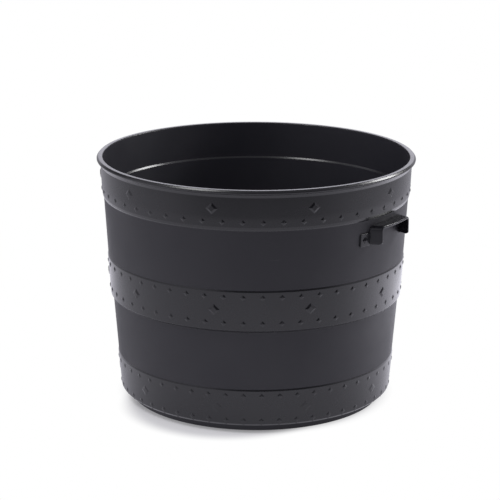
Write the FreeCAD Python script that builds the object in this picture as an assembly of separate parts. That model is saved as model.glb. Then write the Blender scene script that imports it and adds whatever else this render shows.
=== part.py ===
import FreeCAD, Part
import math
import os

os.makedirs("parts", exist_ok=True)

# Rim: a flat top with a slim edge, over a flare that runs down into the upper band
rim_radius = 225.4
rim_thickness = 2.6
rim_corner = 1.4
rim_inner_corner = 1.4
rim_flare = 5.3
rim_flare_height = 8.1

# Wall heights, stacked from the ground up
foot_height = 11.0
lower_band_bevel = 3.0
lower_band_height = 50.8
lower_wall_height = 83.2
middle_band_bevel = 3.5
middle_band_height = 57.0
upper_wall_height = 83.5
upper_band_bevel = 5.0
upper_band_height = 51.8

# How far each wall steps in under a band, and how far a band stands out from the wall above it
upper_band_step = 1.8
middle_band_step = 3.5
band_lift = 0.7
band_chamfer = 2.3

# Draft of each stretch of the wall, in degrees from upright
upper_band_draft = 2.4
upper_wall_draft = 3.5
middle_band_draft = 3.8
lower_wall_draft = 4.5
lower_band_draft = 5.1

# Foot of the upper band, which curls in a little further than its face
upper_band_curl_height = 12.0
upper_band_curl_draft = 5.3

# Thickness of the shell and its inner ledges
wall_thickness = 3.0
ledge_height = 2.4
floor_thickness = 3.5
floor_fillet = 6.0

# Foot ring and drainage
foot_inset = 13.0
foot_thickness = 3.6
drain_diameter = 12.0
drain_count = 6
drain_circle_radius = 105.0

# Large diamond studs on the bands: sizes across the corners, count in a turn, height on each band
stud_width = 16.2
stud_top = 8.8
stud_height = 2.1
stud_count = 10
stud_root = 1.0
upper_stud_rise = 22.5
middle_stud_rise = 28.5
lower_stud_rise = 22.8

# Lifting handles: a bent strap, its front curved like the tub, with an outward foot at each end
grip_drop = 8.6
grip_height = 25.8
grip_width = 84.8
grip_reach = 16.1
grip_draft = 16.0
strap_thickness = 3.2
strap_inner_bend = 3.3
strap_bend_flats = 5
strap_edge = 0.7
leg_nose_length = 4.0
leg_nose_rise = 2.2
foot_plate_width = 16.2
foot_plate_height = 18.3
foot_plate_thickness = 1.8
foot_plate_drop = 1.6
foot_plate_edge = 0.5
seat_gap = 0.3

# Push rivets, square in section: a diamond head outside and a split barb inside, sizes across the corners
rivet_width = 6.0
rivet_clearance = 0.2
rivet_head_width = 9.0
rivet_head_top = 3.0
rivet_head_height = 2.2
rivet_head_rim = 0.5
rivet_gap = 0.15
barb_width = 8.2
barb_tip_width = 4.4
barb_length = 5.0
barb_slot = 1.2

up = FreeCAD.Vector(0, 0, 1)
origin = FreeCAD.Vector(0, 0, 0)


def shrink(draft, height):
    return height * math.tan(math.radians(draft))


# Levels up the outside
lower_band_foot = foot_height + lower_band_bevel
lower_band_top = lower_band_foot + lower_band_height
lower_wall_top = lower_band_top + lower_wall_height
middle_band_foot = lower_wall_top + middle_band_bevel
middle_band_top = middle_band_foot + middle_band_height
upper_wall_top = middle_band_top + upper_wall_height
upper_band_foot = upper_wall_top + upper_band_bevel
rim_top = upper_band_foot + upper_band_height

# Straight faces of the bands, between their bevels or curl and the flare or chamfer above
upper_band_face = upper_band_height - upper_band_curl_height - rim_flare_height - rim_thickness
middle_band_face = middle_band_height - band_chamfer
lower_band_face = lower_band_height - band_chamfer

# Outside radii, worked out from the rim down
upper_band_top_radius = rim_radius - rim_flare
upper_band_curl_radius = upper_band_top_radius - shrink(upper_band_draft, upper_band_face)
upper_band_foot_radius = upper_band_curl_radius - shrink(upper_band_curl_draft, upper_band_curl_height)
upper_wall_top_radius = upper_band_foot_radius - upper_band_step
upper_wall_foot_radius = upper_wall_top_radius - shrink(upper_wall_draft, upper_wall_height)
middle_band_top_radius = upper_wall_foot_radius + band_lift
middle_band_foot_radius = middle_band_top_radius - shrink(middle_band_draft, middle_band_face)
lower_wall_top_radius = middle_band_foot_radius - middle_band_step
lower_wall_foot_radius = lower_wall_top_radius - shrink(lower_wall_draft, lower_wall_height)
lower_band_top_radius = lower_wall_foot_radius + band_lift
lower_band_foot_radius = lower_band_top_radius - shrink(lower_band_draft, lower_band_face)
foot_top_radius = lower_band_foot_radius - foot_inset
foot_ground_radius = foot_top_radius - shrink(lower_band_draft, foot_height)


def rounded_face(corners):
    # A face in the XZ plane from (radius, height, corner radius) triples, each rounding cut in two flats
    points = [FreeCAD.Vector(r, 0, z) for r, z, _ in corners]
    outline = []
    for i, (_, _, radius) in enumerate(corners):
        here = points[i]
        if not radius:
            outline.append(here)
            continue
        back = (points[i - 1] - here).normalize()
        ahead = (points[(i + 1) % len(points)] - here).normalize()
        half = back.getAngle(ahead) / 2
        run = radius / math.tan(half)
        deep = radius / math.sin(half) - radius
        outline += [here + back * run, here + (back + ahead).normalize() * deep, here + ahead * run]
    return Part.Face(Part.makePolygon(outline + outline[:1]))


def lathe(corners, start=0.0, sweep=360.0):
    face = rounded_face(corners)
    face.rotate(origin, up, start)
    return face.revolve(origin, up, sweep)


def diamond(width, distance):
    # A square stood on its corner, facing along +X
    half = width / 2
    corners = [(half, 0), (0, half), (-half, 0), (0, -half)]
    return [FreeCAD.Vector(distance, y, z) for y, z in corners]


def flat_sided(rings):
    # A solid with flat faces between rings of corners, closed at both ends
    faces = [Part.Face(Part.makePolygon(ring + ring[:1])) for ring in (rings[0], rings[-1])]
    for low, high in zip(rings, rings[1:]):
        for i in range(len(low)):
            corners = [low[i - 1], low[i], high[i], high[i - 1], low[i - 1]]
            faces.append(Part.Face(Part.makePolygon(corners)))
    return Part.makeSolid(Part.makeShell(faces))


def diamond_loft(sections):
    return flat_sided([diamond(width, distance) for width, distance in sections])


def diamond_stud():
    # A flat-topped pyramid on the plane x = 0, its slopes carried on down into the wall
    root_width = stud_width + (stud_width - stud_top) * stud_root / stud_height
    return diamond_loft([(root_width, -stud_root), (stud_top, stud_height)])


def place_on_wall(shape, radius, height, draft, angle):
    # Turns +X to the outward normal of a wall that narrows downwards
    placed = shape.copy()
    placed.rotate(origin, FreeCAD.Vector(0, 1, 0), draft)
    placed.translate(FreeCAD.Vector(radius, 0, height))
    placed.rotate(origin, up, angle)
    return placed


def upper_wall_radius(height, offset=0.0):
    return upper_wall_top_radius - shrink(upper_wall_draft, upper_wall_top - height) + offset


def band_studs():
    stud = diamond_stud()
    upper_curl_top = upper_band_foot + upper_band_curl_height
    bands = [
        (upper_curl_top, upper_band_curl_radius, upper_band_draft, upper_stud_rise - upper_band_curl_height),
        (middle_band_foot, middle_band_foot_radius, middle_band_draft, middle_stud_rise),
        (lower_band_foot, lower_band_foot_radius, lower_band_draft, lower_stud_rise),
    ]
    studs = []
    for start, start_radius, draft, rise in bands:
        radius = start_radius + shrink(draft, rise)
        for k in range(stud_count):
            studs.append(place_on_wall(stud, radius, start + rise, draft, 360.0 * k / stud_count))
    return studs


def rivet_angles():
    reach = grip_foot_angle() + math.degrees(foot_plate_width / 2 / upper_wall_radius(plate_middle))
    return [side + turn for side in (0.0, 180.0) for turn in (-reach, reach)]


def at_rivets(shape):
    radius = upper_wall_radius(plate_middle)
    return [place_on_wall(shape, radius, plate_middle, upper_wall_draft, angle) for angle in rivet_angles()]


def rivet_bores():
    # Pins along the wall's normal, long enough to cut the wall and a foot plate
    length = 2 * (wall_thickness + foot_plate_thickness + seat_gap)
    bore_width = rivet_width + 2 * rivet_clearance
    return at_rivets(diamond_loft([(bore_width, -length), (bore_width, length)]))


def tub_shell():
    floor_top = foot_height + floor_thickness
    lower_ledge = middle_band_foot - ledge_height
    upper_ledge = upper_band_foot - ledge_height
    lower_inside = lower_wall_top_radius - wall_thickness
    upper_inside = upper_wall_top_radius - wall_thickness
    rim_inside = upper_band_top_radius - wall_thickness
    lower_inside_floor = lower_inside - shrink(lower_wall_draft, lower_wall_top - floor_top)
    lower_inside_ledge = lower_inside + shrink(lower_wall_draft, lower_ledge - lower_wall_top)
    upper_inside_foot = upper_inside - shrink(upper_wall_draft, upper_wall_top - middle_band_foot)
    upper_inside_ledge = upper_inside + shrink(upper_wall_draft, upper_ledge - upper_wall_top)
    band_inside_foot = upper_band_foot_radius - wall_thickness
    foot_inner_ground = foot_ground_radius - foot_thickness
    foot_inner_top = foot_top_radius - foot_thickness
    rim_foot = rim_top - rim_thickness
    outside = [
        (0, foot_height, 0),
        (foot_inner_top, foot_height, 0),
        (foot_inner_ground, 0, 0),
        (foot_ground_radius, 0, 0),
        (foot_top_radius, foot_height, 0),
        (lower_band_foot_radius - lower_band_bevel, foot_height, 0),
        (lower_band_foot_radius, lower_band_foot, 0),
        (lower_band_top_radius, lower_band_top - band_chamfer, 0),
        (lower_wall_foot_radius, lower_band_top, 0),
        (lower_wall_top_radius, lower_wall_top, 0),
        (middle_band_foot_radius, middle_band_foot, 0),
        (middle_band_top_radius, middle_band_top - band_chamfer, 0),
        (upper_wall_foot_radius, middle_band_top, 0),
        (upper_wall_top_radius, upper_wall_top, 0),
        (upper_band_foot_radius, upper_band_foot, 0),
        (upper_band_curl_radius, upper_band_foot + upper_band_curl_height, 0),
        (upper_band_top_radius, rim_foot - rim_flare_height, 0),
        (rim_radius, rim_foot, 0),
        (rim_radius, rim_top, rim_corner),
    ]
    inside = [
        (rim_inside, rim_top, rim_inner_corner),
        (band_inside_foot, upper_band_foot, 0),
        (upper_inside_ledge, upper_ledge, 0),
        (upper_inside_foot, middle_band_foot, 0),
        (lower_inside_ledge, lower_ledge, 0),
        (lower_inside_floor, floor_top, floor_fillet),
        (0, floor_top, 0),
    ]
    clear_of_studs = 180.0 / stud_count
    shell = lathe(outside + inside, clear_of_studs)
    drains = []
    for k in range(drain_count):
        drain = Part.makeCylinder(drain_diameter / 2, 3 * floor_thickness,
                                  FreeCAD.Vector(drain_circle_radius, 0, foot_height - floor_thickness))
        drain.rotate(origin, up, 360.0 * k / drain_count)
        drains.append(drain)
    shell = shell.cut(drains + rivet_bores())
    return shell.fuse(band_studs())


# Handle levels and the radius of its curved front
grip_top = upper_wall_top - grip_drop
grip_foot = grip_top - grip_height
grip_front = upper_wall_radius(grip_top) + grip_reach
plate_foot = grip_foot - foot_plate_drop
plate_top = plate_foot + foot_plate_height
plate_middle = (plate_foot + plate_top) / 2


def grip_foot_angle():
    return math.degrees(math.asin(grip_width / 2 / upper_wall_radius(plate_middle)))


def strap_outline(distance, half_width, inset):
    # Corners of an arch with upright sides, a flat top and shoulders bent in short flats
    side = half_width - inset
    high = grip_top - inset
    bend = strap_inner_bend + strap_thickness - inset
    left = [(-side, grip_foot - foot_plate_drop - inset)]
    for k in range(strap_bend_flats + 1):
        turn = math.radians(90.0 * k / strap_bend_flats)
        left.append((bend - side - bend * math.cos(turn), high - bend + bend * math.sin(turn)))
    right = [(-y, z) for y, z in reversed(left)]
    return [FreeCAD.Vector(distance, y, z) for y, z in left + right]


def strap_block(start, end, inset):
    # The arch drawn out from inside the wall past the front, narrowing with its draft
    wall_plane = math.sqrt(upper_wall_radius(grip_foot) ** 2 - (grip_width / 2) ** 2)
    rings = []
    for distance in (start, end):
        half_width = grip_width / 2 - shrink(grip_draft, distance - wall_plane)
        rings.append(strap_outline(distance, half_width, inset))
    return flat_sided(rings)


def grip_body():
    # The turned space that trims the strap: a curved front with a softened top edge and a nose below
    return lathe([
        (0, grip_foot, 0),
        (grip_front - leg_nose_length, grip_foot, 0),
        (grip_front, grip_foot + leg_nose_rise, 0),
        (grip_front, grip_top - strap_edge, 0),
        (grip_front - strap_edge, grip_top, 0),
        (0, grip_top, 0),
    ])


def wall_body(offset, low, high):
    # The space that the tub's upper wall fills, grown by an offset
    return lathe([
        (0, low, 0),
        (upper_wall_radius(low, offset), low, 0),
        (upper_wall_radius(high, offset), high, 0),
        (0, high, 0),
    ])


def foot_plate(start, sweep):
    back = seat_gap / 2
    front = seat_gap + foot_plate_thickness
    return lathe([
        (upper_wall_radius(plate_foot, back), plate_foot, 0),
        (upper_wall_radius(plate_foot, front), plate_foot, foot_plate_edge),
        (upper_wall_radius(plate_top, front), plate_top, foot_plate_edge),
        (upper_wall_radius(plate_top, back), plate_top, 0),
    ], start, sweep)


def handle():
    root = upper_wall_radius(grip_foot) - grip_width / 2
    past_front = grip_front + strap_thickness
    strap = strap_block(root, past_front, 0)
    hollow = strap_block(root - strap_thickness, past_front + strap_thickness, strap_thickness)
    strap = strap.cut(hollow).common(grip_body())
    outer = grip_foot_angle()
    plate_sweep = math.degrees((foot_plate_width + strap_thickness / 2) / upper_wall_radius(plate_middle))
    lap = math.degrees(strap_thickness / 2 / upper_wall_radius(plate_middle))
    plates = [foot_plate(outer - lap, plate_sweep), foot_plate(-outer + lap - plate_sweep, plate_sweep)]
    body = strap.fuse(plates)
    body = body.cut(wall_body(seat_gap, plate_foot - grip_height, upper_wall_top))
    return body.removeSplitter().cut(rivet_bores())


def rivet():
    # Along +X from the wall's outer face: head outside, barb inside
    seat = seat_gap + foot_plate_thickness + rivet_gap
    brim = seat + rivet_head_rim
    head = diamond_loft([(rivet_head_width, seat), (rivet_head_width, brim),
                         (rivet_head_top, brim + rivet_head_height)])
    inner = -wall_thickness - rivet_gap
    shank = diamond_loft([(rivet_width, inner), (rivet_width, brim)])
    barb = diamond_loft([(barb_tip_width, inner - barb_length), (barb_width, inner)])
    slot = Part.makeBox(2 * barb_length, barb_slot, 2 * barb_width,
                        FreeCAD.Vector(inner - 1.5 * barb_length, -barb_slot / 2, -barb_width))
    return head.fuse([shank, barb]).cut(slot)


right = handle()
left = right.copy()
left.rotate(origin, up, 180.0)

nodes = {
    "tub_shell": tub_shell(),
    "handle_right": right,
    "handle_left": left,
    "handle_rivets": Part.makeCompound(at_rivets(rivet())),
}
for name, shape in nodes.items():
    shape.exportStep("parts/" + name + ".step")
    print(name, len(shape.Solids), "solids", shape.isValid(), round(shape.Volume / 1000, 1), "cm3")
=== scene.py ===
import math

import bmesh
import bpy
from mathutils import Matrix, Vector


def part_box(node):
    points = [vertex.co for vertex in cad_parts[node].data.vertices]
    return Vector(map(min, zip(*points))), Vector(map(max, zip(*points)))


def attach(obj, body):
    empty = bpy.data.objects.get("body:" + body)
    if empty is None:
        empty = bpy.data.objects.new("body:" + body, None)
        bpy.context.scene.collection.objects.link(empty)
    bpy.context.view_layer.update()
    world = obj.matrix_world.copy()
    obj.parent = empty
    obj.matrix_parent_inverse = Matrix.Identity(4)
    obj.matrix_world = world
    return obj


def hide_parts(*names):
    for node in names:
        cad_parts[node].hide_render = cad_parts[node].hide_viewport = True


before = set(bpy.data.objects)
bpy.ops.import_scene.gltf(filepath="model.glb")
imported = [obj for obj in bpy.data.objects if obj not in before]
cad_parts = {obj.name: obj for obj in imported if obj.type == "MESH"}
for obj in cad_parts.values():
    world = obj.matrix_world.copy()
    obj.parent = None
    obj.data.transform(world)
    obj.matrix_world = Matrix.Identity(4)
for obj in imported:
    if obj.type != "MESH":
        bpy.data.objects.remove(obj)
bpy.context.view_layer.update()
print("frame loaded", sorted(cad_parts))


def narrowing(draft, height):
    return height * math.tan(math.radians(draft))


# Materials
def addNode(tree, kind, values=None, **settings):
    node = tree.nodes.new(kind)
    for name, value in settings.items():
        setattr(node, name, value)
    for name, value in (values or {}).items():
        node.inputs[name].default_value = value
    return node


def addGroup(name, inputs, outputs):
    tree = bpy.data.node_groups.new(name, "ShaderNodeTree")
    for label, kind in inputs:
        tree.interface.new_socket(label, in_out="INPUT", socket_type=kind)
    for label, kind in outputs:
        tree.interface.new_socket(label, in_out="OUTPUT", socket_type=kind)
    return tree, addNode(tree, "NodeGroupInput"), addNode(tree, "NodeGroupOutput")


def feed(tree, socket, value):
    # A plain value stays on the socket, another node's output is linked to it
    if isinstance(value, bpy.types.NodeSocket):
        tree.links.new(value, socket)
    else:
        socket.default_value = value


def addRamp(tree, source, span, low=0.0, high=1.0, shape="SMOOTHSTEP"):
    # From low to high while the source crosses the span
    node = addNode(tree, "ShaderNodeMapRange", interpolation_type=shape)
    names = ("Value", "From Min", "From Max", "To Min", "To Max")
    for name, value in zip(names, (source, *span, low, high)):
        feed(tree, node.inputs[name], value)
    return node.outputs["Result"]


def addMeasure(tree, operation, place, vector):
    node = addNode(tree, "ShaderNodeVectorMath", operation=operation)
    feed(tree, node.inputs[0], place)
    feed(tree, node.inputs[1], vector)
    return node.outputs["Value"]


def addMath(tree, operation, *values, clamp=False):
    node = addNode(tree, "ShaderNodeMath", operation=operation, use_clamp=clamp)
    for socket, value in zip(node.inputs, values):
        feed(tree, socket, value)
    return node.outputs["Value"]


blendSlots = {"FLOAT": (2, 3, 0), "RGBA": (6, 7, 2)}  # first, second and result on the mix node


def addBlend(tree, kind, factor, first, second):
    node = addNode(tree, "ShaderNodeMix", data_type=kind)
    firstSlot, secondSlot, resultSlot = blendSlots[kind]
    feed(tree, node.inputs[0], factor)
    feed(tree, node.inputs[firstSlot], first)
    feed(tree, node.inputs[secondSlot], second)
    return node.outputs[resultSlot]


# Noise levels between which the rubs and the uneven sheen come in
moulding = {"streakSpan": (0.62, 0.74), "patchSpan": (0.52, 0.68), "cloudSpan": (0.3, 0.7)}


def mouldGrainGroup():
    # Fine spark-eroded grain with slow unevenness under it
    inputs = [("Vector", "NodeSocketVector"), ("Grain scale", "NodeSocketFloat"),
              ("Grain depth", "NodeSocketFloat"), ("Wave depth", "NodeSocketFloat")]
    outputs = [("Normal", "NodeSocketVector"), ("Cloud", "NodeSocketFloat")]
    tree, given, result = addGroup("mouldGrain", inputs, outputs)
    grain = addNode(tree, "ShaderNodeTexNoise", {"Detail": 2.0, "Roughness": 0.55})
    wave = addNode(tree, "ShaderNodeTexNoise", {"Scale": 26.0, "Detail": 1.0, "Roughness": 0.4})
    cloud = addNode(tree, "ShaderNodeTexNoise", {"Scale": 11.0, "Detail": 4.0, "Roughness": 0.6})
    slow = addNode(tree, "ShaderNodeBump", {"Distance": 0.002})
    fine = addNode(tree, "ShaderNodeBump", {"Distance": 0.0003})
    for texture in (grain, wave, cloud):
        tree.links.new(given.outputs["Vector"], texture.inputs["Vector"])
    tree.links.new(given.outputs["Grain scale"], grain.inputs["Scale"])
    tree.links.new(given.outputs["Wave depth"], slow.inputs["Strength"])
    tree.links.new(given.outputs["Grain depth"], fine.inputs["Strength"])
    tree.links.new(wave.outputs["Fac"], slow.inputs["Height"])
    tree.links.new(grain.outputs["Fac"], fine.inputs["Height"])
    tree.links.new(slow.outputs["Normal"], fine.inputs["Normal"])
    tree.links.new(fine.outputs["Normal"], result.inputs["Normal"])
    tree.links.new(cloud.outputs["Fac"], result.inputs["Cloud"])
    return tree


def scuffGroup():
    # Short faint rubs, thin across and long along a slanting direction
    inputs = [("Vector", "NodeSocketVector"), ("Amount", "NodeSocketFloat")]
    outputs = [("Mask", "NodeSocketFloat")]
    tree, given, result = addGroup("scuffMarks", inputs, outputs)
    turn = addNode(tree, "ShaderNodeMapping", {"Rotation": (0.5, 0.3, 0.2), "Scale": (60.0, 60.0, 420.0)})
    streak = addNode(tree, "ShaderNodeTexNoise", {"Scale": 1.0, "Detail": 3.0, "Roughness": 0.6})
    patch = addNode(tree, "ShaderNodeTexNoise", {"Scale": 17.0, "Detail": 2.0})
    tree.links.new(given.outputs["Vector"], turn.inputs["Vector"])
    tree.links.new(turn.outputs["Vector"], streak.inputs["Vector"])
    tree.links.new(given.outputs["Vector"], patch.inputs["Vector"])
    thin = addRamp(tree, streak.outputs["Fac"], moulding["streakSpan"], shape="LINEAR")
    where = addRamp(tree, patch.outputs["Fac"], moulding["patchSpan"], shape="LINEAR")
    marks = addMath(tree, "MULTIPLY", thin, where)
    scaled = addMath(tree, "MULTIPLY", marks, given.outputs["Amount"])
    tree.links.new(scaled, result.inputs["Mask"])
    return tree


mouldGrain = mouldGrainGroup()
scuffMarks = scuffGroup()


def plastic(name, look):
    # Black moulded plastic: cloudy tint and sheen, grain and rubs
    material = bpy.data.materials.new(name)
    material.use_nodes = True
    tree = material.node_tree
    surface = tree.nodes["Principled BSDF"]
    surface.inputs["IOR"].default_value = look["ior"]
    place = addNode(tree, "ShaderNodeTexCoord")
    grain = addNode(tree, "ShaderNodeGroup", {
        "Grain scale": look["grainScale"],
        "Grain depth": look["grainDepth"],
        "Wave depth": look["waveDepth"],
    }, node_tree=mouldGrain)
    scuff = addNode(tree, "ShaderNodeGroup", {"Amount": look["scuffs"]}, node_tree=scuffMarks)
    for group in (grain, scuff):
        tree.links.new(place.outputs["Object"], group.inputs["Vector"])
    cloud = grain.outputs["Cloud"]
    mask = scuff.outputs["Mask"]
    clean = addBlend(tree, "RGBA", cloud, (*look["deep"], 1.0), (*look["light"], 1.0))
    colour = addBlend(tree, "RGBA", mask, clean, (*look["rubbed"], 1.0))
    smoothest = look["roughness"] - look["unevenness"]
    roughest = look["roughness"] + look["unevenness"]
    sheen = addRamp(tree, cloud, moulding["cloudSpan"], smoothest, roughest, "LINEAR")
    dulled = addMath(tree, "MULTIPLY_ADD", mask, look["dulling"], sheen)
    tree.links.new(colour, surface.inputs["Base Color"])
    tree.links.new(dulled, surface.inputs["Roughness"])
    tree.links.new(grain.outputs["Normal"], surface.inputs["Normal"])
    return material


shellLook = {
    "deep": (0.0140, 0.0134, 0.0176), "light": (0.0195, 0.0188, 0.0242), "rubbed": (0.05, 0.05, 0.055),
    "ior": 1.52, "roughness": 0.55, "unevenness": 0.05, "dulling": 0.15,
    "grainScale": 2600.0, "grainDepth": 0.25, "waveDepth": 0.02, "scuffs": 0.5,
}
# Inside faces: the same black plastic with a lighter base colour, painted light standing in for the light
# that reaches into the tub
innerPaintedLightLook = {
    "deep": (0.0215, 0.0212, 0.0275), "light": (0.0280, 0.0276, 0.0350), "rubbed": (0.05, 0.05, 0.055),
    "ior": 1.45, "roughness": 0.48, "unevenness": 0.05, "dulling": 0.1,
    "grainScale": 2600.0, "grainDepth": 0.25, "waveDepth": 0.02, "scuffs": 0.3,
}
bandLook = {
    "deep": (0.0108, 0.0108, 0.0126), "light": (0.0150, 0.0150, 0.0174), "rubbed": (0.05, 0.05, 0.055),
    "ior": 1.52, "roughness": 0.26, "unevenness": 0.04, "dulling": 0.15,
    "grainScale": 2600.0, "grainDepth": 0.02, "waveDepth": 0.02, "scuffs": 0.2,
}
handleLook = {
    "deep": (0.008, 0.008, 0.011), "light": (0.012, 0.012, 0.016), "rubbed": (0.04, 0.04, 0.045),
    "ior": 1.50, "roughness": 0.27, "unevenness": 0.03, "dulling": 0.2,
    "grainScale": 4200.0, "grainDepth": 0.02, "waveDepth": 0.02, "scuffs": 0.4,
}
rivetLook = {
    "deep": (0.005, 0.005, 0.008), "light": (0.008, 0.008, 0.012), "rubbed": (0.04, 0.04, 0.045),
    "ior": 1.50, "roughness": 0.24, "unevenness": 0.03, "dulling": 0.2,
    "grainScale": 5200.0, "grainDepth": 0.02, "waveDepth": 0.01, "scuffs": 0.2,
}
wallPlastic = plastic("wallPlastic", shellLook)
innerPaintedLightPlastic = plastic("innerPaintedLightPlastic", innerPaintedLightLook)
bandPlastic = plastic("bandPlastic", bandLook)
handlePlastic = plastic("handlePlastic", handleLook)
rivetPlastic = plastic("rivetPlastic", rivetLook)
print("materials made")


# Mesh helpers
def addObject(name, mesh, *materials):
    obj = bpy.data.objects.new(name, mesh)
    bpy.context.scene.collection.objects.link(obj)
    for material in materials:
        mesh.materials.append(material)
    return obj


def meshFrom(name, bm):
    mesh = bpy.data.meshes.new(name)
    bm.to_mesh(mesh)
    bm.free()
    return mesh


def settle(obj):
    # The result of the modifiers becomes the mesh
    depsgraph = bpy.context.evaluated_depsgraph_get()
    mesh = bpy.data.meshes.new_from_object(obj.evaluated_get(depsgraph), depsgraph=depsgraph)
    obj.modifiers.clear()
    obj.data = mesh


def softenEdges(obj, piece):
    bevel = obj.modifiers.new("softEdges", "BEVEL")
    bevel.width = piece["edge"]
    bevel.segments = piece["edgeSteps"]
    bevel.limit_method = "ANGLE"
    bevel.angle_limit = math.radians(piece["edgeAngle"])
    obj.data.shade_smooth()
    weighted = obj.modifiers.new("weighted", "WEIGHTED_NORMAL")
    weighted.weight = piece["flatWeight"]
    settle(obj)


def finishPiece(obj, slotName, *nodes):
    if nodes:
        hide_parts(*nodes)
    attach(obj, "root")


# Shell: levels and radii in metres, stacked as the CAD stacks them, from the rim's own box
shellLow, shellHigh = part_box("tub_shell")
shell = {
    "rimRadius": max(shellHigh.x, shellHigh.y), "rimThickness": 0.0026, "rimSlope": 0.0022,
    "rimDrop": 0.0026, "rimCorner": 0.0012, "rimInnerCorner": 0.0014,
    "rimFlare": 0.0053, "rimFlareHeight": 0.0081, "coveOut": 0.0021, "coveHeight": 0.0043,
    "beadHeight": 0.0046, "beadCorner": 0.0026,
    "foot": 0.011, "lowerBevel": 0.003, "lowerBand": 0.0508, "lowerWall": 0.0832, "middleBevel": 0.0035,
    "middleBand": 0.057, "upperWall": 0.0835, "upperBevel": 0.005, "upperBand": 0.0518,
    "upperStep": 0.0018, "middleStep": 0.0035, "bandLift": 0.0007, "bandChamfer": 0.0023,
    "lipHeight": 0.0016, "lipOut": 0.0009, "curlHeight": 0.012, "curlDraft": 5.3, "curlRounding": 0.12,
    "upperBandDraft": 2.4, "upperWallDraft": 3.5, "middleBandDraft": 3.8, "lowerWallDraft": 4.5,
    "lowerBandDraft": 5.1,
    "wall": 0.003, "ledge": 0.0024, "floor": 0.0035, "floorFillet": 0.006,
    "footInset": 0.013, "footWall": 0.0036,
    "drainRadius": 0.006, "drainCount": 6, "drainCircle": 0.105, "drainSegments": 32, "drillFloors": 4,
    "arris": 0.0009, "hollow": 0.0006, "segments": 360, "roundSteps": 4, "roundShare": 0.6,
    "hold": 0.0012, "holdRun": 0.0048, "inward": -0.9, "sharpAngle": 40.0,
}


def stackLevels():
    names = ["foot", "lowerBevel", "lowerBand", "lowerWall", "middleBevel", "middleBand", "upperWall",
             "upperBevel", "upperBand"]
    level = {}
    height = shellLow.z
    for name in names:
        height += shell[name]
        level[name] = height
    return level


def wallRadii():
    radius = {}
    radius["upperBandTop"] = shell["rimRadius"] - shell["rimFlare"]
    face = shell["upperBand"] - shell["curlHeight"] - shell["rimFlareHeight"] - shell["rimThickness"]
    radius["upperBandCurl"] = radius["upperBandTop"] - narrowing(shell["upperBandDraft"], face)
    radius["upperBandFoot"] = radius["upperBandCurl"] - narrowing(shell["curlDraft"], shell["curlHeight"])
    radius["upperWallTop"] = radius["upperBandFoot"] - shell["upperStep"]
    radius["upperWallFoot"] = radius["upperWallTop"] - narrowing(shell["upperWallDraft"], shell["upperWall"])
    radius["middleBandTop"] = radius["upperWallFoot"] + shell["bandLift"]
    face = shell["middleBand"] - shell["bandChamfer"]
    radius["middleBandFoot"] = radius["middleBandTop"] - narrowing(shell["middleBandDraft"], face)
    radius["lowerWallTop"] = radius["middleBandFoot"] - shell["middleStep"]
    radius["lowerWallFoot"] = radius["lowerWallTop"] - narrowing(shell["lowerWallDraft"], shell["lowerWall"])
    radius["lowerBandTop"] = radius["lowerWallFoot"] + shell["bandLift"]
    face = shell["lowerBand"] - shell["bandChamfer"]
    radius["lowerBandFoot"] = radius["lowerBandTop"] - narrowing(shell["lowerBandDraft"], face)
    radius["footTop"] = radius["lowerBandFoot"] - shell["footInset"]
    radius["footGround"] = radius["footTop"] - narrowing(shell["lowerBandDraft"], shell["foot"])
    return radius


level = stackLevels()
radius = wallRadii()


def upperWallRadius(height):
    return radius["upperWallTop"] - narrowing(shell["upperWallDraft"], level["upperWall"] - height)


def insideRadius(part, height):
    top = radius[part + "Top"] - shell["wall"]
    return top - narrowing(shell[part + "Draft"], level[part] - height)


def shellCorners():
    # (radius, height, rounding) from under the floor, up the outside, over the rim and down the inside
    arris = shell["arris"]
    hollow = shell["hollow"]
    wall = shell["wall"]
    rim = level["upperBand"]
    coveFoot = rim - shell["rimThickness"] - shell["rimFlareHeight"]
    lowerLedge = level["middleBevel"] - shell["ledge"]
    upperLedge = level["upperBevel"] - shell["ledge"]
    floorTop = level["foot"] + shell["floor"]
    return [
        (0.0, level["foot"], 0.0),
        (radius["footTop"] - shell["footWall"], level["foot"], hollow),
        (radius["footGround"] - shell["footWall"], shellLow.z, hollow),
        (radius["footGround"], shellLow.z, hollow),
        (radius["footTop"], level["foot"], hollow),
        (radius["lowerBandFoot"] - shell["lowerBevel"], level["foot"], hollow),
        (radius["lowerBandFoot"], level["lowerBevel"], arris),
        (radius["lowerBandTop"], level["lowerBand"] - shell["bandChamfer"], arris),
        (radius["lowerWallFoot"], level["lowerBand"], hollow),
        (radius["lowerWallTop"], level["lowerWall"], hollow),
        (radius["middleBandFoot"], level["middleBevel"], arris),
        (radius["middleBandTop"], level["middleBand"] - shell["bandChamfer"], arris),
        (radius["upperWallFoot"], level["middleBand"], hollow),
        (radius["upperWallTop"], level["upperWall"], hollow),
        (radius["upperWallTop"] + shell["lipOut"], level["upperWall"] + shell["lipHeight"], hollow),
        (radius["upperBandFoot"], level["upperBevel"], arris),
        (radius["upperBandCurl"], level["upperBevel"] + shell["curlHeight"], shell["curlRounding"]),
        (radius["upperBandTop"], coveFoot, hollow),
        (radius["upperBandTop"] + shell["coveOut"], coveFoot + shell["coveHeight"], hollow),
        (shell["rimRadius"], rim - shell["beadHeight"], shell["beadCorner"]),
        (shell["rimRadius"], rim - shell["rimDrop"], shell["rimCorner"]),
        (shell["rimRadius"] - shell["rimSlope"], rim, shell["rimCorner"]),
        (radius["upperBandTop"] - wall, rim, shell["rimInnerCorner"]),
        (radius["upperBandFoot"] - wall, level["upperBevel"], hollow),
        (insideRadius("upperWall", upperLedge), upperLedge, hollow),
        (insideRadius("upperWall", level["middleBevel"]), level["middleBevel"], hollow),
        (insideRadius("lowerWall", lowerLedge), lowerLedge, hollow),
        (insideRadius("lowerWall", floorTop), floorTop, shell["floorFillet"]),
        (0.0, floorTop, 0.0),
    ]


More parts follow.
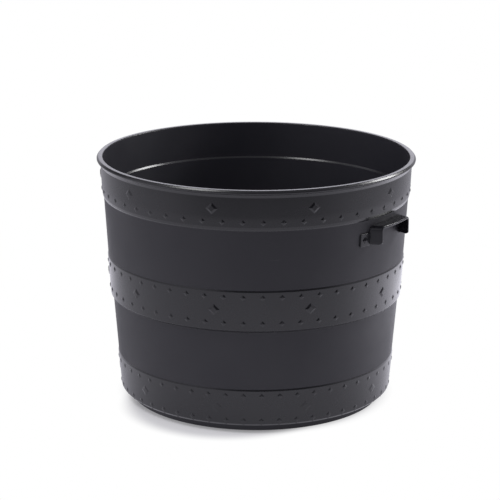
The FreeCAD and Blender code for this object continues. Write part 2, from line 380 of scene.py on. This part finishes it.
def roundOff(corners):
    # The outline with its corners turned in short steps, and points that hold the straight runs flat
    steps = shell["roundSteps"]
    points = [Vector((r, z)) for r, z, _ in corners]
    outline = [points[0]]
    for before, here, after, (_, _, rounding) in zip(points, points[1:], points[2:], corners[1:]):
        back = (before - here).normalized()
        ahead = (after - here).normalized()
        backRun = (before - here).length
        aheadRun = (after - here).length
        half = back.angle(ahead) / 2
        run = min(rounding / math.tan(half), shell["roundShare"] * min(backRun, aheadRun))
        size = run * math.tan(half)
        centre = here + (back + ahead).normalized() * (size / math.sin(half))
        start = here + back * run - centre
        sweep = math.copysign(math.pi - 2 * half, start.cross(ahead))
        if backRun > shell["holdRun"]:
            outline.append(here + back * (run + shell["hold"]))
        for step in range(steps + 1):
            outline.append(centre + Matrix.Rotation(sweep * step / steps, 2) @ start)
        if aheadRun > shell["holdRun"]:
            outline.append(here + ahead * (run + shell["hold"]))
    return outline + [points[-1]]


def lathe(outline, segments):
    bm = bmesh.new()
    turns = [2 * math.pi * k / segments for k in range(segments)]
    rings = []
    for r, z in outline:
        spots = turns if r > 0 else turns[:1]
        rings.append([bm.verts.new((r * math.cos(a), r * math.sin(a), z)) for a in spots])
    for low, high in zip(rings, rings[1:]):
        for k in range(segments):
            ring = [low[k % len(low)], low[(k + 1) % len(low)]]
            ring += [high[(k + 1) % len(high)], high[k % len(high)]]
            bm.faces.new(list(dict.fromkeys(ring)))
    return bm


bandZones = [
    (level["foot"], level["lowerBand"]),
    (level["lowerWall"], level["middleBand"]),
    (level["upperWall"], level["upperBand"] + shell["rimThickness"]),
]


def drainDrill():
    bm = bmesh.new()
    depth = shell["drillFloors"] * shell["floor"]
    for k in range(shell["drainCount"]):
        turn = 2 * math.pi * k / shell["drainCount"]
        spot = Matrix.Rotation(turn, 4, "Z") @ Matrix.Translation((shell["drainCircle"], 0.0, level["foot"]))
        bmesh.ops.create_cone(bm, cap_ends=True, segments=shell["drainSegments"], matrix=spot,
                              radius1=shell["drainRadius"], radius2=shell["drainRadius"], depth=depth)
    return addObject("drainDrill", meshFrom("drainDrill", bm))


def tubShell():
    bm = lathe(roundOff(shellCorners()), shell["segments"])
    bm.normal_update()
    wallSlot, bandSlot, innerSlot = range(3)
    for face in bm.faces:
        middle = face.calc_center_median()
        outward = face.normal.xy.dot(middle.xy.normalized())
        inBand = any(low < middle.z < high for low, high in bandZones)
        face.smooth = True
        face.material_index = bandSlot if inBand else wallSlot
        # Faces turned towards the axis take the inside plastic, whose lighter colour is painted light
        if outward < shell["inward"]:
            face.material_index = innerSlot
    obj = addObject("tubShell", meshFrom("tubShell", bm), wallPlastic, bandPlastic, innerPaintedLightPlastic)
    cutter = drainDrill()
    cut = obj.modifiers.new("drains", "BOOLEAN")
    cut.object = cutter
    cut.solver = "EXACT"
    settle(obj)
    bpy.data.objects.remove(cutter)
    obj.data.set_sharp_from_angle(angle=math.radians(shell["sharpAngle"]))
    return obj


tubShellPiece = tubShell()
print("shell made", len(tubShellPiece.data.polygons), "faces")


# Diamond studs on the bands, set out by geometry nodes
studs = {
    "smallCount": 50, "smallWidth": 0.0086, "smallTop": 0.0032, "smallHeight": 0.0010,
    "largeCount": 10, "largeWidth": 0.0162, "largeTop": 0.0088, "largeHeight": 0.0014,
    "lowSmallHeight": 0.0008, "lowLargeHeight": 0.0007, "root": 0.0008, "edge": 0.0003, "edgeSteps": 2,
    "upperSmall": 0.0068, "upperLarge": 0.0250, "middleMargin": 0.0100,
    "lowerSmall": 0.0046, "lowerMargin": 0.0098,
}


def studShape(name, width, top, height):
    # A flat-topped pyramid facing +X, its slopes carried on down into the wall
    bm = bmesh.new()
    root = width + (width - top) * studs["root"] / height
    rings = []
    for across, x in ((root, -studs["root"]), (top, height)):
        half = across / 2
        rings.append([bm.verts.new((x, y, z)) for y, z in ((half, 0), (0, half), (-half, 0), (0, -half))])
    bm.faces.new(rings[0][::-1])
    bm.faces.new(rings[1])
    for k in range(4):
        bm.faces.new([rings[0][k - 1], rings[0][k], rings[1][k], rings[1][k - 1]])
    bmesh.ops.recalc_face_normals(bm, faces=bm.faces)
    raised = [e for e in bm.edges if any(v.co.x > 0 for v in e.verts)]
    bmesh.ops.bevel(bm, geom=raised, offset=studs["edge"], segments=studs["edgeSteps"], affect="EDGES",
                    profile=0.5)
    return addObject(name, meshFrom(name, bm))


def studRowTree():
    # One ring of studs round the axis, joined to what comes in
    tree = bpy.data.node_groups.new("studRow", "GeometryNodeTree")
    tree.is_modifier = True
    tree.interface.new_socket("Geometry", in_out="INPUT", socket_type="NodeSocketGeometry")
    tree.interface.new_socket("Stud", in_out="INPUT", socket_type="NodeSocketObject")
    tree.interface.new_socket("Count", in_out="INPUT", socket_type="NodeSocketInt")
    for label in ("Start", "Radius", "Height", "Draft"):
        tree.interface.new_socket(label, in_out="INPUT", socket_type="NodeSocketFloat")
    tree.interface.new_socket("Geometry", in_out="OUTPUT", socket_type="NodeSocketGeometry")
    given = addNode(tree, "NodeGroupInput")
    result = addNode(tree, "NodeGroupOutput")
    index = addNode(tree, "GeometryNodeInputIndex")
    spot = addNode(tree, "ShaderNodeCombineXYZ")
    euler = addNode(tree, "ShaderNodeCombineXYZ")
    facing = addNode(tree, "FunctionNodeEulerToRotation")
    points = addNode(tree, "GeometryNodePoints")
    source = addNode(tree, "GeometryNodeObjectInfo")
    placed = addNode(tree, "GeometryNodeInstanceOnPoints")
    solid = addNode(tree, "GeometryNodeRealizeInstances")
    painted = addNode(tree, "GeometryNodeSetMaterial", {"Material": bandPlastic})
    joined = addNode(tree, "GeometryNodeJoinGeometry")
    pitch = addMath(tree, "DIVIDE", 2 * math.pi, given.outputs["Count"])
    turn = addMath(tree, "MULTIPLY_ADD", index.outputs[0], pitch, given.outputs["Start"])
    for wave, axis in (("COSINE", "X"), ("SINE", "Y")):
        out = addMath(tree, "MULTIPLY", addMath(tree, wave, turn), given.outputs["Radius"])
        tree.links.new(out, spot.inputs[axis])
    tree.links.new(given.outputs["Height"], spot.inputs["Z"])
    tree.links.new(given.outputs["Draft"], euler.inputs["Y"])
    tree.links.new(turn, euler.inputs["Z"])
    tree.links.new(euler.outputs[0], facing.inputs[0])
    tree.links.new(given.outputs["Count"], points.inputs["Count"])
    tree.links.new(spot.outputs[0], points.inputs["Position"])
    tree.links.new(given.outputs["Stud"], source.inputs["Object"])
    tree.links.new(points.outputs[0], placed.inputs["Points"])
    tree.links.new(source.outputs["Geometry"], placed.inputs["Instance"])
    tree.links.new(facing.outputs[0], placed.inputs["Rotation"])
    tree.links.new(placed.outputs[0], solid.inputs[0])
    tree.links.new(solid.outputs[0], painted.inputs["Geometry"])
    tree.links.new(given.outputs["Geometry"], joined.inputs[0])
    tree.links.new(painted.outputs[0], joined.inputs[0])
    tree.links.new(joined.outputs[0], result.inputs[0])
    return tree


def addStudRow(obj, tree, values):
    modifier = obj.modifiers.new("studRow", "NODES")
    modifier.node_group = tree
    for item in tree.interface.items_tree:
        if item.in_out == "INPUT" and item.name in values:
            modifier[item.identifier] = values[item.name]


def bandStuds():
    small = studShape("smallStud", studs["smallWidth"], studs["smallTop"], studs["smallHeight"])
    large = studShape("largeStud", studs["largeWidth"], studs["largeTop"], studs["largeHeight"])
    lowSmall = studShape("lowSmallStud", studs["smallWidth"], studs["smallTop"], studs["lowSmallHeight"])
    lowLarge = studShape("lowLargeStud", studs["largeWidth"], studs["largeTop"], studs["lowLargeHeight"])
    lowerHigh = shell["lowerBand"] - studs["lowerMargin"]
    upperCurl = (level["upperBevel"], radius["upperBandFoot"], shell["curlDraft"])
    upperFace = (level["upperBevel"] + shell["curlHeight"], radius["upperBandCurl"], shell["upperBandDraft"])
    middleFace = (level["middleBevel"], radius["middleBandFoot"], shell["middleBandDraft"])
    lowerFace = (level["lowerBevel"], radius["lowerBandFoot"], shell["lowerBandDraft"])
    between = math.pi / studs["smallCount"]
    smallRow = (small, studs["smallCount"], between)
    largeRow = (large, studs["largeCount"], 0.0)
    lowSmallRow = (lowSmall, studs["smallCount"], between)
    lowLargeRow = (lowLarge, studs["largeCount"], 0.0)
    rows = [
        (smallRow, upperCurl, studs["upperSmall"]),
        (largeRow, upperFace, studs["upperLarge"] - shell["curlHeight"]),
        (smallRow, middleFace, studs["middleMargin"]),
        (largeRow, middleFace, shell["middleBand"] / 2),
        (smallRow, middleFace, shell["middleBand"] - studs["middleMargin"]),
        (lowSmallRow, lowerFace, studs["lowerSmall"]),
        (lowLargeRow, lowerFace, (studs["lowerSmall"] + lowerHigh) / 2),
        (lowSmallRow, lowerFace, lowerHigh),
    ]
    tree = studRowTree()
    obj = addObject("bandStuds", bpy.data.meshes.new("bandStuds"))
    for (stud, count, start), (foot, footRadius, draft), rise in rows:
        addStudRow(obj, tree, {
            "Stud": stud, "Count": count, "Start": start, "Height": foot + rise,
            "Radius": footRadius + narrowing(draft, rise), "Draft": math.radians(draft),
        })
    settle(obj)
    for source in (small, large, lowSmall, lowLarge):
        bpy.data.objects.remove(source)
    obj.data.shade_flat()
    return obj


bandStudsPiece = bandStuds()
finishPiece(tubShellPiece, "shell_plastic", "tub_shell")
finishPiece(bandStudsPiece, "shell_plastic")
print("studs made", len(bandStudsPiece.data.polygons), "faces")


# Lifting handles: a bent strap with a curved foot plate at each end
gripLow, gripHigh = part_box("handle_right")
grip = {
    "top": gripHigh.z, "front": gripHigh.x, "plateFoot": gripLow.z,
    "height": 0.0258, "width": 0.0848, "draft": 16.0, "thickness": 0.0032, "innerBend": 0.0033,
    "noseLength": 0.0040, "noseRise": 0.0022, "seatGap": 0.0003,
    "plateWidth": 0.0162, "plateHeight": 0.0183, "plateThickness": 0.0018,
    "edge": 0.0010, "edgeSteps": 3, "edgeAngle": 35.0, "flatWeight": 90,
    "legSteps": 5, "bendSteps": 8, "topSteps": 42, "plateSteps": 8, "tries": 8,
}
gripFoot = grip["top"] - grip["height"]
wallPlane = math.sqrt(upperWallRadius(gripFoot) ** 2 - (grip["width"] / 2) ** 2)


def strapPoint(step, reach, inset):
    # A corner of the arch at one step along it, where it crosses one distance from the tub's axis
    part, share, side = step
    bend = grip["innerBend"] + grip["thickness"] - inset
    shoulder = grip["top"] - grip["innerBend"] - grip["thickness"]
    x = upperWallRadius(gripFoot)
    for _ in range(grip["tries"]):
        half = grip["width"] / 2 - narrowing(grip["draft"], x - wallPlane) - inset
        if part == "leg":
            foot = gripFoot + grip["noseRise"] * (reach == "front")
            y, z = half, foot + (shoulder - foot) * share
        elif part == "bend":
            turn = math.pi / 2 * share
            y, z = half - bend + bend * math.cos(turn), shoulder + bend * math.sin(turn)
        else:
            y, z = share * (half - bend), grip["top"] - inset
        radii = {"seat": upperWallRadius(z) + grip["seatGap"], "front": grip["front"]}
        radii["nose"] = grip["front"] - grip["noseLength"]
        x = math.sqrt(radii[reach] ** 2 - y ** 2)
    return x, side * y, z


def strapSteps():
    half = [("leg", k / grip["legSteps"], -1) for k in range(grip["legSteps"])]
    half += [("bend", k / grip["bendSteps"], -1) for k in range(grip["bendSteps"] + 1)]
    top = [("top", 2 * k / grip["topSteps"] - 1, 1) for k in range(1, grip["topSteps"])]
    return half + top + [(part, share, 1) for part, share, _ in reversed(half)]


def addTube(bm, rings):
    # A closed skin over rings of corners
    rings = [[bm.verts.new(point) for point in ring] for ring in rings]
    count = len(rings[0])
    for low, high in zip(rings, rings[1:]):
        for k in range(count):
            bm.faces.new([low[k - 1], low[k], high[k], high[k - 1]])
    for ring in (rings[0], rings[-1]):
        for k in range(count // 2 - 1):
            bm.faces.new([ring[k], ring[k + 1], ring[count - 2 - k], ring[count - 1 - k]])


def strapRings():
    rings = []
    for step in strapSteps():
        outer = [strapPoint(step, reach, 0.0) for reach in ("seat", "nose", "front")]
        inner = [strapPoint(step, reach, grip["thickness"]) for reach in ("front", "nose", "seat")]
        rings.append(outer + inner)
    return rings


def plateRings(side):
    low = grip["plateFoot"]
    high = low + grip["plateHeight"]
    middle = upperWallRadius((low + high) / 2)
    lap = grip["thickness"] / 2
    start = math.asin(grip["width"] / 2 / middle) - lap / middle
    sweep = (grip["plateWidth"] + lap) / middle
    back = grip["seatGap"]
    front = back + grip["plateThickness"]
    rings = []
    for k in range(grip["plateSteps"] + 1):
        turn = side * (start + sweep * k / grip["plateSteps"])
        section = [(low, back), (low, front), (high, front), (high, back)]
        reach = [(upperWallRadius(z) + out, z) for z, out in section]
        rings.append([(r * math.cos(turn), r * math.sin(turn), z) for r, z in reach])
    return rings


def handle(name, turn):
    bm = bmesh.new()
    addTube(bm, strapRings())
    for side in (-1, 1):
        addTube(bm, plateRings(side))
    bmesh.ops.recalc_face_normals(bm, faces=bm.faces)
    bmesh.ops.rotate(bm, verts=bm.verts, cent=(0, 0, 0), matrix=Matrix.Rotation(turn, 3, "Z"))
    obj = addObject(name, meshFrom(name, bm), handlePlastic)
    softenEdges(obj, grip)
    return obj


for pieceName, node, turn in (("gripRight", "handle_right", 0.0), ("gripLeft", "handle_left", math.pi)):
    finishPiece(handle(pieceName, turn), "handle_plastic", node)
print("handles made")


# Rivets: the CAD solids with softened edges
rivets = {"edge": 0.0003, "edgeSteps": 2, "edgeAngle": 20.0, "flatWeight": 90, "weld": 0.00001, "flat": 1.0}


def rivetHeads():
    bm = bmesh.new()
    bm.from_mesh(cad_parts["handle_rivets"].data)
    bmesh.ops.remove_doubles(bm, verts=bm.verts, dist=rivets["weld"])
    bmesh.ops.dissolve_limit(bm, angle_limit=math.radians(rivets["flat"]), verts=bm.verts, edges=bm.edges)
    obj = addObject("gripRivets", meshFrom("gripRivets", bm), rivetPlastic)
    softenEdges(obj, rivets)
    return obj


finishPiece(rivetHeads(), "rivet_plastic", "handle_rivets")
print("rivets made")


# Stage: the photograph's view, over a pale floor in a white studio
view = {
    "azimuth": 33.445, "distance": 2.7122, "height": 0.9559, "pitch": 15.432, "yaw": -0.176, "roll": 0.205,
    "lens": 141.204, "sensor": 36.0,
}
viewTurn = Matrix.Rotation(math.radians(view["azimuth"]), 3, "Z")
towardsView = viewTurn @ Vector((0.0, -1.0, 0.0))


# Floor: the spans are distances in metres over which the paper changes
paper = {
    "radius": 2.5, "segments": 96, "colour": (0.85, 0.84, 0.89), "white": 1.0, "tint": (0.98, 0.965, 1.07),
    "contactSpan": (0.150, 0.204), "fadeSpan": (0.65, 1.15),  # out from the tub's axis
    "shadowSpan": (0.124, 0.158), "shadowLight": 0.34, "shadowLeft": 0.040, "shadowFront": 0.069,
    # Painted shade: in reflections the paper is darker close to the tub's foot
    "reflectedShadeSpan": (0.184, 0.30), "reflectedShadeLevel": 0.6,  # in reflections only, like the glow
    # Painted light: in reflections the paper glows brighter along this heading, as if lit by the side box
    "glowHeading": 62.0, "glowSpan": (-0.15, 0.55), "glowLow": 0.9, "glowHigh": 1.85,
}


def floorMaterial():
    # The camera sees the tub's shadow on the paper and white beyond it
    # Reflections see the paper as a glow, painted light that grows towards the back, darkened near the tub
    # as painted shade, and far out the paper fades into the studio
    material = bpy.data.materials.new("paleFloor")
    material.use_nodes = True
    tree = material.node_tree
    tree.nodes.remove(tree.nodes["Principled BSDF"])
    place = addNode(tree, "ShaderNodeTexCoord").outputs["Object"]
    path = addNode(tree, "ShaderNodeLightPath")
    seen = path.outputs["Is Camera Ray"]
    heading = math.radians(paper["glowHeading"])
    glowWay = viewTurn @ Vector((math.cos(heading), math.sin(heading), 0.0))
    shadowSpot = viewTurn @ Vector((-paper["shadowLeft"], -paper["shadowFront"], 0.0))
    reach = addMeasure(tree, "DISTANCE", place, (0.0, 0.0, 0.0))
    shadowReach = addMeasure(tree, "DISTANCE", place, shadowSpot)
    alongGlow = addMeasure(tree, "DOT_PRODUCT", place, glowWay)
    contact = addRamp(tree, reach, paper["contactSpan"])
    outside = addRamp(tree, shadowReach, paper["shadowSpan"], paper["shadowLight"])
    # Painted shade: reflections see the paper darker close to the tub
    reflectedShade = addRamp(tree, reach, paper["reflectedShadeSpan"], paper["reflectedShadeLevel"], shape="LINEAR")
    fade = addRamp(tree, reach, paper["fadeSpan"], shape="LINEAR")
    clear = addMath(tree, "MULTIPLY", contact, outside)
    mirrored = addMath(tree, "ADD", path.outputs["Is Glossy Ray"], path.outputs["Is Transmission Ray"])
    mirroredClear = addMath(tree, "MULTIPLY", mirrored, reflectedShade)
    shown = addMath(tree, "MULTIPLY_ADD", seen, clear, mirroredClear, clamp=True)
    # Painted light: the glow seen in reflections grows stronger along one heading
    brightness = addRamp(tree, alongGlow, paper["glowSpan"], paper["glowLow"], paper["glowHigh"])
    strength = addBlend(tree, "FLOAT", seen, brightness, paper["white"])
    colour = addBlend(tree, "RGBA", seen, (*paper["tint"], 1.0), (1.0, 1.0, 1.0, 1.0))
    sheet = addNode(tree, "ShaderNodeBsdfDiffuse", {"Color": (*paper["colour"], 1.0)})
    glow = addNode(tree, "ShaderNodeEmission")
    gone = addNode(tree, "ShaderNodeBsdfTransparent")
    near = addNode(tree, "ShaderNodeMixShader")
    mixed = addNode(tree, "ShaderNodeMixShader")
    tree.links.new(colour, glow.inputs["Color"])
    tree.links.new(strength, glow.inputs["Strength"])
    tree.links.new(shown, near.inputs[0])
    tree.links.new(sheet.outputs[0], near.inputs[1])
    tree.links.new(glow.outputs[0], near.inputs[2])
    tree.links.new(fade, mixed.inputs[0])
    tree.links.new(near.outputs[0], mixed.inputs[1])
    tree.links.new(gone.outputs[0], mixed.inputs[2])
    tree.links.new(mixed.outputs[0], tree.nodes["Material Output"].inputs["Surface"])
    return material


def studioFloor():
    bm = bmesh.new()
    bmesh.ops.create_circle(bm, cap_ends=True, segments=paper["segments"], radius=paper["radius"])
    floor = addObject("studioFloor", meshFrom("studioFloor", bm), floorMaterial())


# Studio: levels by height and by how far a direction turns towards the viewer
studio = {
    "white": 1.0, "tint": (0.98, 0.965, 1.07),
    "lowSpan": (0.3, 0.9), "sideLevel": 0.68, "frontLow": 0.35,
    "backSpan": (-0.92, -0.78), "backRise": (0.04, 0.2), "backLow": 0.45, "backHigh": 1.7,
    "gapSpan": (-0.45, -0.2), "gapRise": (-0.05, 0.2), "gapLow": 0.6, "gapHigh": 0.12,
    "sideRise": (0.15, 0.3), "sideLow": 0.5, "sideHigh": 0.85,
    "darkHeading": 18.0, "darkSpan": (0.5, 0.82), "frontHigh": 0.03,
    "duskSpan": (-0.34, 0.25), "topSpan": (0.45, 0.75), "topLevel": 0.3,
}


def studioWorld():
    # White to the camera
    # Reflections show a bright backdrop, dark gaps beside it, pale sides, a dark front and a dim top
    world = bpy.data.worlds.new("studio")
    bpy.context.scene.world = world
    world.use_nodes = True
    tree = world.node_tree
    lit = tree.nodes["Background"]
    lit.inputs["Color"].default_value = (*studio["tint"], 1.0)
    plain = (1.0, 1.0, 1.0, 1.0)
    seen = addNode(tree, "ShaderNodeBackground", {"Color": plain, "Strength": studio["white"]})
    way = addNode(tree, "ShaderNodeTexCoord").outputs["Generated"]
    apart = addNode(tree, "ShaderNodeSeparateXYZ")
    tree.links.new(way, apart.inputs[0])
    rise = apart.outputs["Z"]
    darkWay = Matrix.Rotation(math.radians(studio["darkHeading"]), 3, "Z") @ towardsView
    ahead = addMeasure(tree, "DOT_PRODUCT", way, towardsView)
    darkSide = addMeasure(tree, "DOT_PRODUCT", way, darkWay)
    backdrop = addRamp(tree, rise, studio["backRise"], studio["backLow"], studio["backHigh"])
    gap = addRamp(tree, rise, studio["gapRise"], studio["gapLow"], studio["gapHigh"])
    flank = addRamp(tree, rise, studio["sideRise"], studio["sideLow"], studio["sideHigh"])
    beside = addRamp(tree, ahead, studio["gapSpan"], gap, flank)
    behind = addRamp(tree, ahead, studio["backSpan"], backdrop, beside)
    raised = addRamp(tree, darkSide, studio["darkSpan"], behind, studio["frontHigh"])
    low = addRamp(tree, ahead, studio["lowSpan"], studio["sideLevel"], studio["frontLow"])
    around = addRamp(tree, rise, studio["duskSpan"], low, raised)
    strength = addRamp(tree, rise, studio["topSpan"], around, studio["topLevel"])
    path = addNode(tree, "ShaderNodeLightPath")
    mixed = addNode(tree, "ShaderNodeMixShader")
    tree.links.new(strength, lit.inputs["Strength"])
    tree.links.new(path.outputs["Is Camera Ray"], mixed.inputs[0])
    tree.links.new(lit.outputs[0], mixed.inputs[1])
    tree.links.new(seen.outputs[0], mixed.inputs[2])
    tree.links.new(mixed.outputs[0], tree.nodes["World Output"].inputs["Surface"])


# Soft boxes: each spot says how far right, away from the viewer and up
topBox = {"spot": (-0.88, -0.53, 1.85), "size": 0.6, "power": 10.0}
sideBox = {"spot": (1.74, 0.64, 1.35), "size": 0.7, "power": 25.0}


def softBox(name, box):
    # A square lamp that faces the tub
    lamp = bpy.data.lights.new(name, "AREA")
    lamp.shape = "SQUARE"
    lamp.size = box["size"]
    lamp.energy = box["power"]
    obj = bpy.data.objects.new(name, lamp)
    obj.location = viewTurn @ Vector(box["spot"])
    obj.rotation_euler = obj.location.to_track_quat("Z", "Y").to_euler()
    bpy.context.scene.collection.objects.link(obj)


def photoCamera():
    yaw, pitch, roll = (math.radians(view[name]) for name in ("yaw", "pitch", "roll"))
    flat = Vector((math.cos(yaw), -math.sin(yaw), 0.0))
    ahead = Vector((math.cos(pitch) * math.sin(yaw), math.cos(pitch) * math.cos(yaw), -math.sin(pitch)))
    above = flat.cross(ahead)
    right = math.cos(roll) * flat + math.sin(roll) * above
    top = math.cos(roll) * above - math.sin(roll) * flat
    axes = viewTurn @ Matrix((right, top, -ahead)).transposed()
    data = bpy.data.cameras.new("photoCamera")
    data.sensor_width = view["sensor"]
    data.lens = view["lens"]
    camera = bpy.data.objects.new("photoCamera", data)
    spot = viewTurn @ Vector((0.0, -view["distance"], view["height"]))
    camera.matrix_world = Matrix.Translation(spot) @ axes.to_4x4()
    bpy.context.scene.collection.objects.link(camera)
    bpy.context.scene.camera = camera


studioFloor()
studioWorld()
softBox("topBox", topBox)
softBox("sideBox", sideBox)
photoCamera()
bpy.context.scene.view_settings.view_transform = "Standard"
print("stage set")
